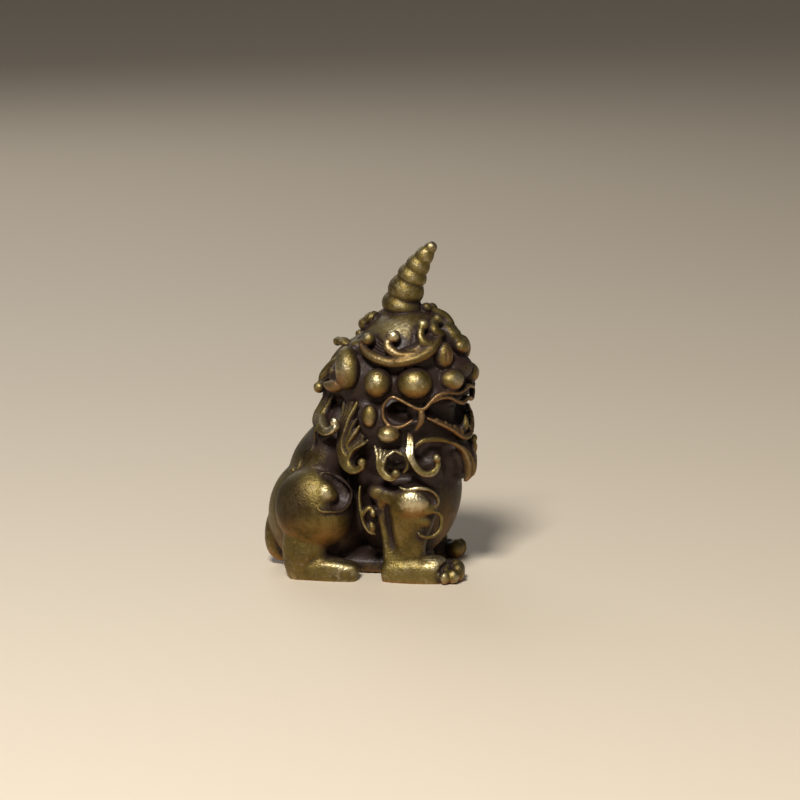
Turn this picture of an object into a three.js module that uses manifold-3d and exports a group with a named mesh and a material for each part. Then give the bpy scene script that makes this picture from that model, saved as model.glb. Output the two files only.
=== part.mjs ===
// A seated qilin, cast in one piece in solid brass: a palm-sized lion-like beast with one ringed horn.
// Millimetres, +Z up, the beast faces +X, its left side is +Y, and its soles and seat rest on Z = 0.
import * as THREE from "three";
import { mergeVertices } from "three/addons/utils/BufferGeometryUtils.js";
import Module from "manifold-3d";

const wasm = await Module();
wasm.setup();

// Driving dimensions
const HEAD_CENTRE = [4.6, 0, 25]; // middle of the skull
const HEAD_TURN = 16; // degrees that the head looks towards the beast's right
const SKULL = 6.5; // radius of the bare skull
const SKULL_LIFT = 1.6; // from the head's middle up to the middle of the skull
const FACE = 8.1; // from the head's upright axis to the rims of the lips and brows
const HORN_ROOT = [-1.1, 5.6]; // the horn's foot inside the skull, ahead of and above the head's middle
const HORN_TIP = [3.6, 16.5];
const HORN_RADIUS = 3.3;
const HORN_RINGS = 8;
const LEG_OUT = 6.6; // from the middle plane to the middle of a leg
const TOE = 1.25; // radius of a toe
const STAGGER = 0.6; // how far the right foreleg stands ahead of its neutral place, and the left one behind
const RIM = 0.38; // half the width of the raised rims of lips, brows and scrolls
const SHORTEST_EDGE = 0.34; // edges shorter than this are drawn together
const BOTH = [-1, 1]; // the beast's right side, then its left side

const rad = THREE.MathUtils.degToRad;
const radial = (spot) => new THREE.Vector3(spot.x, spot.y, 0); // away from the head's upright axis
const facing = (...direction) => () => new THREE.Vector3(...direction);

// A rounded bar: a sphere drawn out along a smooth line. Each knot is [x, y, z, half width, half depth],
// and the depth lies towards out(spot). Small "ends" make blunt ends, and 1 makes an egg.
function bar(knots, out, { sides = 10, rings = 8, ends = 0.5, swell = () => 1 } = {}) {
  const line = new THREE.CatmullRomCurve3(knots.map(([x, y, z]) => new THREE.Vector3(x, y, z)));
  const size = new THREE.CatmullRomCurve3(knots.map((knot) => new THREE.Vector3(knot[3], knot[4], 0)));
  const geometry = new THREE.SphereGeometry(1, sides, rings);
  const spots = geometry.getAttribute("position");
  for (let i = 0; i < spots.count; i++) {
    const polar = Math.acos(THREE.MathUtils.clamp(spots.getY(i), -1, 1));
    const around = Math.atan2(spots.getZ(i), spots.getX(i));
    const t = polar / Math.PI;
    const spot = line.getPoint(t);
    const along = line.getTangent(t);
    const deep = out(spot).addScaledVector(along, -along.dot(out(spot))).normalize();
    const wide = new THREE.Vector3().crossVectors(deep, along);
    const girth = Math.sin(polar) < 1e-6 ? 0 : Math.sin(polar) ** ends;
    const reach = girth * swell(t);
    const half = size.getPoint(t);
    spot.addScaledVector(wide, Math.cos(around) * half.x * reach);
    spot.addScaledVector(deep, Math.sin(around) * half.y * reach);
    spots.setXYZ(i, spot.x, spot.y, spot.z);
  }
  return geometry;
}

// An egg with three radii, made of even triangles.
function egg(centre, radii, detail = 2) {
  return new THREE.IcosahedronGeometry(1, detail).scale(...radii).translate(...centre);
}

// A small egg with few facets.
function pebble(centre, radii) {
  return new THREE.OctahedronGeometry(1.06, 1).scale(...radii).translate(...centre);
}

// A lock of hair that runs from its root and winds in to its eye, where it ends in a bead. It is a spiral
// in the plane that faces "out": its distance from the eye falls from the root's to "hook", then to nothing.
function lock({ root, eye, out, hook, sweep, fat, bead, sides = 4, rings = 8 }) {
  const up = new THREE.Vector3(...out).normalize();
  const centre = new THREE.Vector3(...eye);
  const first = new THREE.Vector3(...root).sub(centre);
  const lift = first.dot(up);
  first.addScaledVector(up, -lift);
  const far = first.length();
  first.normalize();
  const second = new THREE.Vector3().crossVectors(up, first);
  const steps = 10;
  const knots = Array.from({ length: steps + 1 }, (_, i) => {
    const t = (i / steps) * 0.95;
    const away = far * (1 - t) ** 3 + 4 * hook * t * (1 - t);
    const angle = rad(sweep) * t ** 1.7;
    const spot = centre.clone().addScaledVector(first, away * Math.cos(angle));
    spot.addScaledVector(second, away * Math.sin(angle)).addScaledVector(up, lift * (1 - t) ** 2);
    const half = fat * (1 - 0.55 * t);
    return [...spot.toArray(), half, half * 1.1];
  });
  return [bar(knots, facing(...out), { sides, rings, ends: 0.35 }), egg(eye, [bead, bead, bead], 0)];
}

// A point of the head from its bearing (0 ahead, 90 at the right cheek), distance from the axis and height.
function onHead(bearing, away, height) {
  return [away * Math.cos(rad(bearing)), -away * Math.sin(rad(bearing)), height];
}

// A thin raised rim through [bearing, height] points on the face.
function faceRim(points, away, thick = RIM, rings = 10) {
  const knots = points.map(([bearing, height]) => [...onHead(bearing, away, height), thick, thick * 1.5]);
  return bar(knots, radial, { sides: 4, rings, ends: 0.3 });
}

// The same, measured from the skull: "proud" is the height above its skin.
function onSkull(bearing, height, proud) {
  const away = Math.sqrt((SKULL + proud) ** 2 - (height - SKULL_LIFT) ** 2);
  return onHead(bearing, away, height);
}

function torso() {
  return [
    egg([-6.4, 0, 6.9], [6.6, 7.4, 7.2], 3), // rump
    bar([[-9.2, 0, 6.5, 6.2, 3.6], [-6.4, 0, 12.4, 6.8, 4.2], [-2.5, 0, 18.6, 6.2, 4.4], [0.4, 0, 25, 5.6, 4.6]],
      facing(-1, 0, 0.5), { sides: 10, rings: 7, ends: 0.4 }), // sloping back
    egg([4.1, 0, 10.8], [7.4, 6.9, 9.6], 3), // chest and belly
    bar([[-8, 0, 1.8, 6, 2.6], [0, 0, 1.8, 6.2, 2.8], [8, 0, 1.8, 5.4, 2.6]], facing(0, 0, 1),
      { rings: 5, ends: 0.3 }), // underside
  ];
}

function foreleg(side) {
  const x = STAGGER * -side;
  const y = side * LEG_OUT;
  const out = facing(0, side, 0);
  return [
    bar([[5.6 + x, y * 0.9, 14.4, 3, 2.4], [6.3 + x, y, 10.8, 3.1, 2.6], [6.1 + x, y, 6.4, 2.9, 2],
      [6 + x, y, -1.6, 2.8, 2]], out, { sides: 9, rings: 7, ends: 0.3 }), // upper arm to wrist
    bar([[2.4 + x, y + side * 0.4, 11.6, 1, 1.4], [2 + x, y + side * 0.3, 7, 1, 1.5],
      [2.9 + x, y + side * 0.4, -1.4, 1.4, 1.6]], out, { sides: 6, ends: 0.4 }), // feathering behind the arm
    bar([[2.2 + x, y, 0.9, 2.2, 1.9], [6 + x, y, 1.2, 2.4, 2.1], [11 + x, y, 0.8, 2.4, 1.9]],
      facing(0, 0, 1), { sides: 8, rings: 6, ends: 0.3 }), // paw
    ...[-1, 0, 1].map((k) =>
      pebble([10.7 + x - 0.6 * k * k, y + k * 1.6, 1.2], [TOE * 1.05, TOE * 0.85, TOE])), // toes
    ...cloudRims(side, x, y),
    ...shoulderTuft(side),
  ];
}

// Two C-shaped cloud rims stand proud of the front of each upper arm: [ahead, out, up].
function cloudRims(side, x, y) {
  const rims = [
    [[3.9, 2.1, 12.9], [5.4, 2.3, 12.4], [7.2, 2.2, 12.8], [8.7, 1.3, 11.8], [9.1, 0.8, 10.4], [8.5, 1.3, 9.4]],
    [[7.2, 2.1, 9.2], [9.1, 0.9, 9], [9.3, 0.8, 7.2], [8.4, 1.2, 6], [6.6, 2.1, 6.7]],
  ];
  return rims.map((points) => bar(
    points.map(([ahead, proud, up]) => [ahead + x, y + side * proud, up, RIM, RIM * 1.8]),
    facing(0.5, side, 0), { sides: 4, rings: 9, ends: 0.3 }));
}

// A hooked tuft with a leaf below it, in the angle between the shoulder and the flank.
function shoulderTuft(side) {
  return [
    bar([[-0.4, side * 6.9, 12.4, 0.4, 1], [-0.5, side * 7.3, 10.5, 0.4, 1], [-0.3, side * 7.2, 8.6, 0.4, 1]],
      facing(0, side, 0), { sides: 4, rings: 4 }),
    ...lock({ root: [0.5, side * 7, 6.6], eye: [1.1, side * 7.8, 8.3], out: [0, side, 0], hook: 1.2,
      sweep: side * 300, fat: 0.7, bead: 0.55, rings: 8 }),
    bar([[0.4, side * 7.2, 7, 0.6, 0.9], [1.2, side * 7.7, 6.5, 0.8, 1], [2.2, side * 7.6, 6.3, 0.5, 0.7]],
      facing(0, side, 0), { sides: 4, rings: 4 }),
  ];
}

function hindLeg(side) {
  const y = side * LEG_OUT;
  const scroll = [[-5.2, 8.9, 13.4], [-3.4, 8.4, 13], [-2.1, 7.9, 11.9], [-1.6, 7.8, 10.4], [-2.2, 8.4, 9],
    [-3.4, 9, 8.9], [-5, 9.3, 9.4]]; // [ahead, out, up]
  return [
    egg([-6, side * 5.9, 9.2], [5.2, 4, 5.3], 3), // haunch
    pebble([-4.6, side * 7.6, 11.2], [2, 2.1, 1.8]), // muscle inside the scroll
    bar(scroll.map(([ahead, out, up]) => [ahead, side * out, up, RIM, RIM * 2.4]), facing(0, side, 0),
      { sides: 4, rings: 11, ends: 0.3 }),
    bar([[-6.6, y * 0.95, 7.4, 4, 2.5], [-7.6, y, 4, 3.3, 2.3], [-7.6, y, -1.8, 3.1, 2.2]],
      facing(0, side, 0), { sides: 8, rings: 6, ends: 0.35 }), // shank
    bar([[-9.3, y, 0.8, 1.9, 1.7], [-5, y + side * 0.3, 0.8, 2, 1.8], [-0.4, y + side * 0.7, 0.8, 2, 1.6]],
      facing(0, 0, 1), { sides: 8, rings: 6, ends: 0.3 }), // foot
    ...BOTH.map((k) => pebble([0.1, y + side * 0.6 + k * 0.9, 0.9], [TOE * 1.05, TOE * 0.8, TOE * 0.9])),
  ];
}

// The tail hangs against the rump, and its tuft curls out on both sides at the ground.
function tail() {
  return [
    bar([[-10.2, 0, 9.6, 1.2, 1.6], [-12.2, 0, 6.6, 1.4, 1], [-12.8, 0, 3.8, 1.6, 0.8],
      [-11.9, 0, 0.8, 1.3, 1.1]], facing(-1, 0, 0), { sides: 7, rings: 7, ends: 0.4 }),
    ...BOTH.flatMap((side) => lock({ root: [-11.9, side * 0.6, 6.4], eye: [-11.6, side * 2.5, 1.8],
      out: [-1, side * 0.25, 0], hook: 1.1, sweep: side * 250, fat: 1, bead: 0.7, rings: 7 })),
  ];
}

// Hooked tufts in pairs down both sides of the spine.
function flankTufts() {
  const rows = 3;
  return BOTH.flatMap((side) => Array.from({ length: rows }, (_, row) => {
    const eye = [-5.7 - 1.7 * row, side * 4.6, 17.6 - 2.3 * row];
    const root = [eye[0] + 1.6, side * 3.4, eye[2] + 2.2];
    return lock({ root, eye, out: [-0.85, side * 0.5, 0.45], hook: 0.8, sweep: side * 230, fat: 0.8,
      bead: 0.5, rings: 6 });
  }).flat());
}

// The skirt of the mane: hooked locks in pairs round the head. Root and eye are [bearing, away, height].
function mane() {
  const locks = [
    { root: [66, 8.2, -5.4], eye: [47, 8.3, -9.8], hook: 1.6, fat: 1.05, bead: 0.85 },
    { root: [88, 8.7, -7.4], eye: [76, 9, -10.5], hook: 1.1, fat: 1.05, bead: 0.75 },
    { root: [109, 8.7, -2.6], eye: [100, 9.5, -9.5], hook: 1.6, fat: 1.45, bead: 0.85 },
    { root: [142, 9.6, -2.6], eye: [129, 10.2, -5.3], hook: 1.3, fat: 0.9, bead: 0.75 },
    { root: [150, 7.6, 2.6], eye: [153, 10.8, -1.8], hook: 0.9, fat: 1.2, bead: 0.75 },
    { root: [164, 9, -3.6], eye: [158, 10, -7.8], hook: 1.2, fat: 1, bead: 0.7 },
    { root: [164, 3.6, 6.6], eye: [165, 5.7, 5.2], hook: 1.1, fat: 0.95, bead: 0.8 },
  ];
  return BOTH.flatMap((side) => locks.flatMap(({ root, eye, ...sizes }) => lock({
    root: onHead(-side * root[0], root[1], root[2]),
    eye: onHead(-side * eye[0], eye[1], eye[2]),
    out: onHead(-side * eye[0], 1, 0),
    sweep: -side * 300,
    ...sizes,
  })));
}

// The beard fans from under the chin over the chest, with a curled lock down each side of it.
function beard() {
  return [
    bar([[5.6, 0, -6.8, 1.8, 1], [6.9, 0, -9.4, 2, 1], [7, 0, -12, 1.5, 0.8], [6.4, 0, -13.8, 0.8, 0.6]],
      facing(1, 0, 0), { sides: 6, rings: 6, ends: 0.4 }),
    ...BOTH.flatMap((side) => [
      bar([[54, 7.6, -6.6], [34, 7.8, -7], [19, 7.8, -8.8], [12, 7.8, -10.9], [13, 7.7, -12.9], [20, 7.7, -13.1]]
        .map(([bearing, away, height]) => [...onHead(-side * bearing, away, height), 0.6, 0.8]), radial,
      { sides: 4, rings: 9, ends: 0.35 }),
      egg(onHead(-side * 20, 8, -12.6), [0.75, 0.75, 0.75], 0),
    ]),
  ];
}

function skull() {
  return [
    egg([0, 0, SKULL_LIFT], [SKULL, SKULL, SKULL], 3),
    egg([1.4, 0, -0.4], [6.7, 7.2, 4.4], 2), // cheeks
    egg([1, 0, -5.4], [6.6, 6.4, 3.4], 2), // lower jaw
    egg([-3, 0, -1.4], [7.4, 7.4, 6.2], 2), // nape
    egg([-1.5, 0, -5.6], [8.9, 9, 6.3], 2), // neck under the mane
    egg([1.2, 0, -10], [7.2, 8.5, 4.9], 3), // collar above the chest
    bar([[3.4, 0, 6.6, 1.2, 1], [6, 0, 5.2, 1.2, 1], [7, 0, 3.2, 1.2, 1]], facing(1, 0, 0.6),
      { sides: 6, rings: 5 }), // bridge
    egg([7.8, 0, 3.3], [1.1, 1.3, 1.15], 1), // nose
  ];
}

// The mouth: [bearing, upper lip, lower lip] from the front to the corner beyond the fang.
const LIPS = [[0, -1.6, -7.3], [12, -1.9, -6.8], [24, -1.6, -5.7], [36, -1.6, -4.9], [48, -2.5, -4.5],
  [60, -2.6, -4.9], [72, -2.0, -5.2], [84, -2.6, -4.3]];
const acrossFace = [...LIPS.slice(1).reverse().map(([bearing, ...lips]) => [-bearing, ...lips]), ...LIPS];
const FANG = 54; // bearing of the fang's root

// The mouth is deep at the cheeks and shallow in front, where the tongue fills it.
function mouthCut() {
  const knots = acrossFace.map(([bearing, upper, lower]) => {
    const inner = FACE - 0.9 - 2.8 * Math.sin(rad(bearing)) ** 2;
    const outer = FACE + 1;
    return [...onHead(bearing, (inner + outer) / 2, (upper + lower) / 2), (upper - lower) / 2 + 0.1,
      (outer - inner) / 2];
  });
  return [bar(knots, radial, { sides: 8, rings: 16, ends: 0.3 })];
}

function mouthRims() {
  const upper = acrossFace.slice(1, -1).map(([bearing, height]) => [bearing, height]);
  const lower = acrossFace.slice(3, -3).map(([bearing, , height]) => [bearing, height]);
  const teeth = [14, 26, 38];
  return [
    faceRim(upper, FACE - 0.25, RIM, 15),
    faceRim(lower, FACE - 0.5, RIM * 1.3, 12),
    ...BOTH.flatMap((side) => [
      faceRim([[70, -2], [79, -1.7], [86, -3.1], [81, -4.8], [70, -5.3], [59, -4.9]]
        .map(([bearing, height]) => [-side * bearing, height]), FACE - 0.35, RIM, 8), // cheek hole
      bar([[FANG - 3, FACE - 0.3, -2.4, 0.9], [FANG - 1, FACE, -3.8, 0.65], [FANG + 4, FACE - 0.1, -6, 0.3]]
        .map(([bearing, away, height, half]) => [...onHead(-side * bearing, away, height), half, half]), radial,
      { sides: 4, rings: 4, ends: 0.5 }), // fang
      ...teeth.map((bearing) => egg(onHead(-side * bearing, FACE - 0.7, -6.9 + bearing * 0.058),
        [0.45, 0.45, 0.8], 0)),
    ]),
    bar([[4, 0, -6.4, 2, 1], [6, 0, -6.2, 1.6, 0.9], [7.1, 0, -5.2, 0.7, 0.6]], facing(0, 0, 1),
      { sides: 6, rings: 5 }), // tongue
  ];
}

// Smooth balls of flesh along the cheek: [bearing, height, radius, stretch].
function cheekBalls(side) {
  const balls = [[27, 0, 1.5, 1], [62, 0.1, 2.05, 0.95], [98, -0.2, 1.5, 1.1], [105, -4, 0.9, 1.5],
    [88, -6.1, 1.2, 1]];
  return balls.map(([bearing, height, radius, stretch]) =>
    (radius > 1.4 ? egg : pebble)(onHead(-side * bearing, FACE - radius * 0.6, height),
      [radius, radius, radius * stretch], 1));
}

// Each brow is a crescent rim on which flames hook back and up to a knob: [bearing, height]. The left
// brow is cast a little higher than the right one.
function brow(side) {
  const lift = side > 0 ? 1.3 : 0;
  const rim = [[119, 5.2], [128, 4.5], [122, 3.5], [108, 2.9], [92, 2.5], [78, 2.4], [61, 2.8], [46, 3.6],
    [30, 4.6], [18, 5.4]];
  const knobs = [[82, 5.8], [54, 6.3], [19, 6.9]];
  const strokes = knobs.map(([bearing, height]) => [[-24, -2.4, 0.5], [-12, -2.6, 0.8],
    [3, -1.9, 0.8], [7, lift - 0.9, 0.6], [0, lift, 0.5]]
    .map(([turn, drop, proud]) => onSkull(-side * (bearing + turn), height + drop, proud)));
  return [
    bar(rim.map(([bearing, height]) => [...onSkull(-side * bearing, height, 1.1), 0.6, 1]), radial,
      { sides: 4, rings: 11, ends: 0.3 }),
    ...strokes.map((spots) => bar(spots.map((spot) => [...spot, 0.8, 0.9]), radial,
      { sides: 4, rings: 6, ends: 0.4 })),
    ...[[121, 5.1 - lift], ...knobs].map(([bearing, height]) =>
      egg(onSkull(-side * bearing, height + lift, 0.9), [0.85, 0.85, 0.8], 0)),
  ];
}

function eye(side) {
  return [pebble(onHead(-side * 29, 6.8, 2.9), [1.2, 1.15, 1.5])];
}

function ear(side) {
  const along = (rows) => rows.map(([bearing, away, height, ...half]) =>
    [...onHead(-side * bearing, away, height), ...half]);
  return [
    bar(along([[142, 7.8, 4.2, 1.4, 1.3], [134, 8.2, 1.8, 1.8, 1.6], [128, 8.2, -1, 1.5, 1.3]]), radial,
      { sides: 7, rings: 6, ends: 0.4 }),
    bar(along([[134, 8.2, 0.6, 1.2, 1], [143, 8.9, -0.6, 1, 0.9], [151, 9.5, -1.6, 0.5, 0.5]]), radial,
      { sides: 4, rings: 4 }), // hind point
  ];
}

// The horn bends forward, and rounded rings that shrink towards the tip make up its length.
function horn() {
  const [footX, footZ] = HORN_ROOT;
  const [tipX, tipZ] = HORN_TIP;
  const rows = 6;
  const knots = Array.from({ length: rows + 1 }, (_, i) => {
    const t = i / rows;
    const half = HORN_RADIUS * (1 - 0.68 * t);
    return [footX + (tipX - footX) * t ** 2, 0, footZ + (tipZ - footZ) * t, half, half];
  });
  const swell = (t) => 0.86 + 0.14 * Math.sqrt(Math.abs(Math.sin(Math.PI * HORN_RINGS * t)));
  return [bar(knots, facing(0, 1, 0), { sides: 8, rings: HORN_RINGS * 3, ends: 0.2, swell })];
}

// A closed geometry as a solid that can be joined and cut.
function solid(geometry) {
  geometry.deleteAttribute("normal");
  geometry.deleteAttribute("uv");
  const skin = mergeVertices(geometry, 1e-4);
  return new wasm.Manifold(new wasm.Mesh({
    numProp: 3,
    vertProperties: Float32Array.from(skin.getAttribute("position").array),
    triVerts: Uint32Array.from(skin.getIndex().array),
  }));
}

const join = (geometries) => geometries.map(solid).reduce((whole, piece) => whole.add(piece));
const onBody = (geometry) => geometry.rotateZ(-rad(HEAD_TURN)).translate(...HEAD_CENTRE);

function casting() {
  const head = join([
    ...skull(),
    ...mane(),
    ...beard(),
  ].map(onBody));
  const trim = join([
    ...mouthRims(),
    ...horn(),
    ...BOTH.flatMap((side) => [...cheekBalls(side), ...brow(side), ...eye(side), ...ear(side)]),
  ].map(onBody));
  const body = join([
    ...torso(),
    ...tail(),
    ...flankTufts(),
    ...BOTH.flatMap((side) => [...foreleg(side), ...hindLeg(side)]),
  ]);
  const ground = solid(new THREE.BoxGeometry(60, 60, 20).translate(0, 0, -10));
  return body.add(head).subtract(join(mouthCut().map(onBody))).add(trim).subtract(ground);
}

// Draws the ends of short edges together, so that the joins between the forms leave no slivers. An edge
// stays where its loss would fold the skin over or close a ring of three edges.
function withoutSlivers(spots, faces, shortest) {
  const around = spots.map(() => new Set());
  faces.forEach((face, f) => face.forEach((v) => around[v].add(f)));
  const ring = (v) => new Set([...around[v]].flatMap((f) => faces[f]).filter((w) => w !== v));
  const normal = ([a, b, c]) => new THREE.Vector3().subVectors(b, a).cross(new THREE.Vector3().subVectors(c, a));
  const folds = (v, to, skipped) => [...around[v]].filter((f) => !skipped.has(f)).some((f) => {
    const before = normal(faces[f].map((w) => spots[w]));
    const after = normal(faces[f].map((w) => (w === v ? to : spots[w])));
    return after.dot(before) < 0.5 * after.length() * before.length() || after.length() < 1e-3;
  });
  const edges = faces.flatMap(([a, b, c]) => [[a, b], [b, c], [c, a]]).filter(([a, b]) => a < b);
  const length = ([a, b]) => spots[a].distanceTo(spots[b]);
  let joined = 0;
  for (const [a, b] of edges.filter((edge) => length(edge) < shortest).sort((p, q) => length(p) - length(q))) {
    const shared = new Set([...around[a]].filter((f) => around[b].has(f)));
    const ringOfB = ring(b);
    const common = [...ring(a)].filter((v) => ringOfB.has(v));
    const to = spots[a].clone().add(spots[b]).multiplyScalar(0.5);
    to.z = Math.min(spots[a].z, spots[b].z) < 1e-4 ? 0 : to.z;
    const sound = shared.size === 2 && common.length === 2 && length([a, b]) < shortest;
    if (!sound || folds(a, to, shared) || folds(b, to, shared)) continue;
    spots[a].copy(to);
    spots[b].copy(to);
    shared.forEach((f) => faces[f].forEach((v) => around[v].delete(f)));
    around[b].forEach((f) => {
      faces[f] = faces[f].map((v) => (v === b ? a : v));
      around[a].add(f);
    });
    around[b].clear();
    joined += 1;
  }
  const kept = [...new Set(around.flatMap((set) => [...set]))].map((f) => faces[f]);
  return joined > 0 ? withoutSlivers(spots, kept, shortest) : { spots, faces: kept };
}

// The casting as one mesh, with the middle of its underside at the origin.
function figurine() {
  const { vertProperties, triVerts } = casting().getMesh();
  const rows = (values) => Array.from({ length: values.length / 3 }, (_, i) => [...values.slice(3 * i, 3 * i + 3)]);
  const spots = rows(vertProperties).map((row) => new THREE.Vector3(...row));
  const skin = withoutSlivers(spots, rows(triVerts), SHORTEST_EDGE);
  const loose = new THREE.BufferGeometry();
  loose.setAttribute("position", new THREE.Float32BufferAttribute(skin.spots.flatMap((v) => v.toArray()), 3));
  loose.setIndex(skin.faces.flat());
  const geometry = mergeVertices(loose.toNonIndexed(), 1e-4);
  geometry.computeBoundingBox();
  const middle = geometry.boundingBox.getCenter(new THREE.Vector3());
  geometry.translate(-middle.x, -middle.y, -geometry.boundingBox.min.z);
  geometry.computeVertexNormals();
  const brass = new THREE.MeshStandardMaterial({ color: 0x86703c, roughness: 0.45, metalness: 1 });
  const mesh = new THREE.Mesh(geometry, brass);
  mesh.name = "qilin_figurine";
  return mesh;
}

const group = new THREE.Group();
group.add(figurine());
export default group;
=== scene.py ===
# A seated qilin, cast in brass in one piece: a palm-sized lion-like beast with one ringed horn.
# The wax is modelled in millimetres, +Z up, the beast faces +X and its left side is +Y.
import bpy
import numpy as np
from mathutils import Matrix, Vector
from mathutils.bvhtree import BVHTree
from mathutils.kdtree import KDTree


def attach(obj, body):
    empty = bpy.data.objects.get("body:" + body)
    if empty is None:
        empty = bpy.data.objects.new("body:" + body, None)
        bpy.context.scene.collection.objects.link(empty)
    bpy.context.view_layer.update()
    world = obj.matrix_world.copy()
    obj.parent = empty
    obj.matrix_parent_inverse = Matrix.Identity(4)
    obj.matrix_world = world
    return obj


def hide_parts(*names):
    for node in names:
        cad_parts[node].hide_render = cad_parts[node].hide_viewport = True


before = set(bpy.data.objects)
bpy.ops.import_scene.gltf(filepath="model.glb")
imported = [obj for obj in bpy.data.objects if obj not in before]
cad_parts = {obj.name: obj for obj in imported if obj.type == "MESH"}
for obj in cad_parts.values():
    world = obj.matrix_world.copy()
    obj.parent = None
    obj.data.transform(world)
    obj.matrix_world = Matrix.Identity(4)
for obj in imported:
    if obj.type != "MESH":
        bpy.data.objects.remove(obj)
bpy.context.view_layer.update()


# Trunk. The beast sits upright: a heavy rump, a sloping back and a smooth bulging chest. In the wax these
# are rounded masses pressed together, so each is a closed surface that runs into its neighbours.
LEG_OUT = 6.6  # from the middle plane to the middle of a leg
SIDES = (-1, 1)  # the beast's right side, then its left side
masses = []  # the large forms, which are softened together
carving = []  # the small forms, which are laid over them


def course(knots, t):
    """Smooth line through the knots: centripetal Catmull-Rom, t from 0 at the first knot to 1 at the last.
    Returns the points and the directions of travel."""
    knots = np.asarray(knots, float)
    padded = np.vstack([2 * knots[0] - knots[1], knots, 2 * knots[-1] - knots[-2]])
    place = np.clip(t, 0, 1) * (len(knots) - 1)
    first = np.minimum(place.astype(int), len(knots) - 2)
    w = (place - first)[:, None]
    a, b, c, d = (padded[first + k] for k in range(4))
    gap = lambda p, q: np.maximum(np.linalg.norm(q - p, axis=1, keepdims=True) ** 0.5, 1e-4)
    before, here, after = gap(a, b), gap(b, c), gap(c, d)
    leave = ((b - a) / before - (c - a) / (before + here)) * here + (c - b)
    arrive = ((d - c) / after - (d - b) / (here + after)) * here + (c - b)
    bend = 3 * (c - b) - 2 * leave - arrive
    turn = 2 * (b - c) + leave + arrive
    return b + leave * w + bend * w**2 + turn * w**3, leave + 2 * bend * w + 3 * turn * w**2


def closed(rows, around):
    """Triangles of a surface of rows x around points with a pole at each end, as an index array. The poles
    are the first and the last point."""
    row, column = np.meshgrid(np.arange(rows - 1), np.arange(around), indexing="ij")
    here = 1 + row * around + column
    beside = 1 + row * around + (column + 1) % around
    wall = np.stack([here, beside, beside + around, here, beside + around, here + around], -1).reshape(-1, 3)
    ring = np.arange(around)
    step = (ring + 1) % around
    foot = np.stack([np.zeros_like(ring), 1 + step, 1 + ring], -1)
    last = 1 + (rows - 1) * around
    top = np.stack([np.full_like(ring, last + around), last + ring, last + step], -1)
    return np.vstack([foot, wall, top])


def lay(wax, points, faces):
    """Adds a closed surface to the wax with its faces outwards: its signed volume is made positive."""
    a, b, c = (points[faces[:, k]] for k in range(3))
    volume = np.einsum("ij,ij->i", a, np.cross(b, c)).sum()
    wax.append((points, faces if volume > 0 else faces[:, ::-1]))


def bar(wax, knots, out, ends=0.5, around=28, rows=44, swell=None, place=None):
    """Rounded bar carried along a smooth line. Each knot is x, y, z, half width, half depth, and the depth
    lies towards out. The girth is sin(pi t) to the power of ends, times swell(t, angle)."""
    knots = np.asarray(knots, float)
    even = np.linspace(0, 1, rows + 2)[1:-1]
    t = even - 0.9 * np.sin(2 * np.pi * even) / (2 * np.pi)
    line, along = course(knots[:, :3], t)
    half, _ = course(knots[:, 3:5], t)
    along /= np.linalg.norm(along, axis=1, keepdims=True)
    outward = out(line) if callable(out) else np.broadcast_to(np.asarray(out, float), line.shape)
    deep = outward - along * np.einsum("ij,ij->i", outward, along)[:, None]
    deep /= np.linalg.norm(deep, axis=1, keepdims=True)
    wide = np.cross(deep, along)
    angle = np.linspace(0, 2 * np.pi, around, endpoint=False)
    girth = np.sin(np.pi * t)[:, None] ** ends * np.ones(around)
    if swell is not None:
        girth = girth * swell(t[:, None], angle[None, :])
    across = (np.cos(angle) * girth * half[:, :1])[..., None] * wide[:, None]
    upward = (np.sin(angle) * girth * half[:, 1:2])[..., None] * deep[:, None]
    skin = (line[:, None] + across + upward).reshape(-1, 3)
    tips, _ = course(knots[:, :3], np.array([0.0, 1.0]))
    points = np.vstack([tips[:1], skin, tips[1:]])
    lay(wax, place(points) if place else points, closed(rows, around))


def egg(wax, centre, radii, around=40, rows=24, place=None):
    """Egg with three radii: latitude rows of a ball, stretched along x, y and z."""
    tilt = np.linspace(0, np.pi, rows + 2)[1:-1, None]
    angle = np.linspace(0, 2 * np.pi, around, endpoint=False)[None, :]
    ball = np.stack([np.sin(tilt) * np.cos(angle), np.sin(tilt) * np.sin(angle),
                     np.cos(tilt) * np.ones_like(angle)], -1).reshape(-1, 3)
    points = np.vstack([[[0, 0, 1]], ball, [[0, 0, -1]]]) * radii + centre
    lay(wax, place(points) if place else points, closed(rows, around))


def squarish(t, angle):
    """Girth that turns a round section into a square one with rounded corners."""
    return (np.cos(angle) ** 4 + np.sin(angle) ** 4) ** -0.25 * np.ones_like(t)


egg(masses, [-6.4, 0, 6.9], [6.6, 7.4, 7.2])  # rump
bar(masses, [[-9.2, 0, 6.5, 6.2, 3.6], [-6.4, 0, 12.4, 6.8, 4.2], [-2.6, 0, 18.6, 6.2, 3.3],
             [0.4, 0, 25, 5.6, 4.6]], (-1, 0, 0.5), ends=0.4)  # sloping back
egg(masses, [4.1, 0, 10.8], [7.4, 6.9, 9.6])  # chest and belly
bar(masses, [[-8, 0, 1.4, 5, 2.2], [0, 0, 1.2, 4.6, 1.9], [8, 0, 1.4, 4.8, 2.2]], (0, 0, 1), ends=0.3)


# Forelegs. The broad upper arm narrows to a straight shin with a feathered ridge behind it, and ends in a
# square paw with ball-shaped toes. Two cloud scrolls are cut round the front of the arm.
STAGGER = 0.6  # how far the right foreleg stands ahead of its neutral place, and the left one behind
engraving = []  # lines cut into the finished wax: knots, half width, depth
scoops = []  # broad hollows sunk into the masses before the carving is laid on, in the same form


def cut(knots, width, depth):
    """Notes a line to be cut: a channel of that half width and depth along the knots."""
    engraving.append((np.asarray(knots, float), width, depth))


def scoop(knots, width, depth):
    """Notes a hollow to be sunk into the masses."""
    scoops.append((np.asarray(knots, float), width, depth))


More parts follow.
